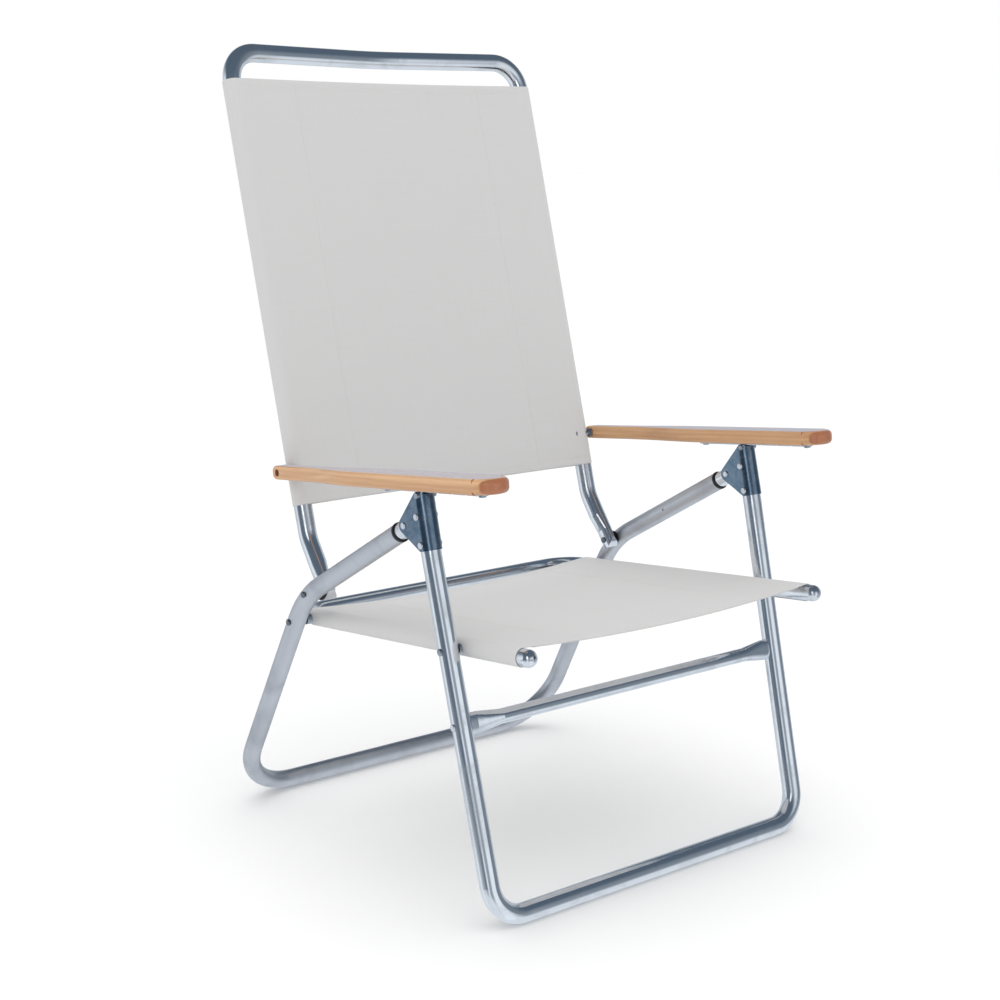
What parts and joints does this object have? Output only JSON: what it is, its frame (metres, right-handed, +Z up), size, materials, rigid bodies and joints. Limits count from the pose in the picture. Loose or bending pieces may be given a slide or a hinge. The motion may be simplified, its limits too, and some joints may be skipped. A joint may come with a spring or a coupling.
{
  "type": "folding beach chair",
  "caption": "Folding high-back beach chair: bent metal tube frames, sliding side tubes, sling seat and back, hardwood armrests.",
  "frame": {"origin": "on the floor, under the middle of the whole chair's length and width", "axes": "+Z up, the chair faces -Y, +X to the sitter's left"},
  "size_m": [0.61, 0.6935, 1.0859],
  "materials": {
    "polished_tube": "polished tube",
    "satin_tube": "satin tube",
    "zinc_sheet": "bright zinc plating",
    "fastener_steel": "zinc-plated fasteners",
    "dark_bolt": "dark zinc bolts",
    "black_nylon": "moulded nylon",
    "hardwood": "oiled hardwood, grain along the arm",
    "sling_cloth": "tight plain weave, hemmed edges"
  },
  "bodies": {
    "rear_frame": {"rear_leg_frame": "satin_tube", "tube_end_rings": "black_nylon", "seat_rear_pivot_bolts": "dark_bolt", "seat_pivot_washers": "fastener_steel"},
    "slide_tubes": {"left_slide_tube": "polished_tube", "right_slide_tube": "polished_tube"},
    "front_frame": {"front_leg_frame": "polished_tube", "front_cross_bar": "polished_tube", "cross_bar_rivets": "fastener_steel", "left_bracket": "zinc_sheet", "right_bracket": "zinc_sheet", "bracket_rivets": "fastener_steel", "slide_pivot_rivets": "fastener_steel", "arm_catch_pins": "fastener_steel", "seat_front_pivot_bolts": "fastener_steel"},
    "seat": {"seat_frame": "polished_tube", "seat_sling": "sling_cloth"},
    "back_hinge": {"back_pivot_bolts": "dark_bolt", "back_pivot_washers": "black_nylon"},
    "back": {"back_frame": "polished_tube", "back_sling": "sling_cloth", "arm_pivot_washers": "fastener_steel"},
    "left_arm_hinge": {"left_arm_pivot_bolt": "fastener_steel"},
    "right_arm_hinge": {"right_arm_pivot_bolt": "fastener_steel"},
    "left_arm": {"left_armrest": "hardwood", "left_arm_rack": "fastener_steel", "left_arm_screws": "fastener_steel"},
    "right_arm": {"right_armrest": "hardwood", "right_arm_rack": "fastener_steel", "right_arm_screws": "fastener_steel"}
  },
  "joints": [
    {"name": "frame_slide", "type": "slide", "parent": "rear_frame", "child": "slide_tubes", "axis": [0, -0.8715, 0.4904], "range_m": [0, 0.1592]},
    {"name": "frame_fold", "type": "hinge", "parent": "slide_tubes", "child": "front_frame", "pos_m": [0, -0.1502, 0.4869], "axis": [1, 0, 0], "range_deg": [0, 60]},
    {"name": "seat_fold", "type": "hinge", "parent": "rear_frame", "child": "seat", "pos_m": [0, 0.1252, 0.305], "axis": [-1, 0, 0], "range_deg": [0, 16]},
    {"name": "back_fold", "type": "hinge", "parent": "rear_frame", "child": "back_hinge", "pos_m": [0, 0.0864, 0.3517], "axis": [1, 0, 0], "range_deg": [0, 60.1]},
    {"name": "recline", "type": "hinge", "parent": "back_hinge", "child": "back", "pos_m": [0, 0.0864, 0.3517], "axis": [-1, 0, 0], "range_deg": [0, 36]},
    {"name": "left_arm_level", "type": "hinge", "parent": "back", "child": "left_arm_hinge", "pos_m": [0.28325, 0.1484, 0.5097], "axis": [1, 0, 0], "range_deg": [0, 28.2]},
    {"name": "left_arm_fold", "type": "hinge", "parent": "left_arm_hinge", "child": "left_arm", "pos_m": [0.28325, 0.1484, 0.5097], "axis": [-1, 0, 0], "range_deg": [0, 84.1]},
    {"name": "right_arm_level", "type": "hinge", "parent": "back", "child": "right_arm_hinge", "pos_m": [-0.28325, 0.1484, 0.5097], "axis": [1, 0, 0], "range_deg": [0, 28.2]},
    {"name": "right_arm_fold", "type": "hinge", "parent": "right_arm_hinge", "child": "right_arm", "pos_m": [-0.28325, 0.1484, 0.5097], "axis": [-1, 0, 0], "range_deg": [0, 84.1]}
  ],
  "couplings": [
    {"joint": "frame_slide", "follows": "frame_fold", "m_per_rad": 0.1519},
    {"joint": "seat_fold", "follows": "frame_fold", "ratio": 0.265},
    {"joint": "back_fold", "follows": "frame_fold", "ratio": 1},
    {"joint": "left_arm_level", "follows": "recline", "ratio": 0.779},
    {"joint": "left_arm_fold", "follows": "frame_fold", "ratio": 1.4},
    {"joint": "right_arm_level", "follows": "recline", "ratio": 0.779},
    {"joint": "right_arm_fold", "follows": "frame_fold", "ratio": 1.4}
  ]
}
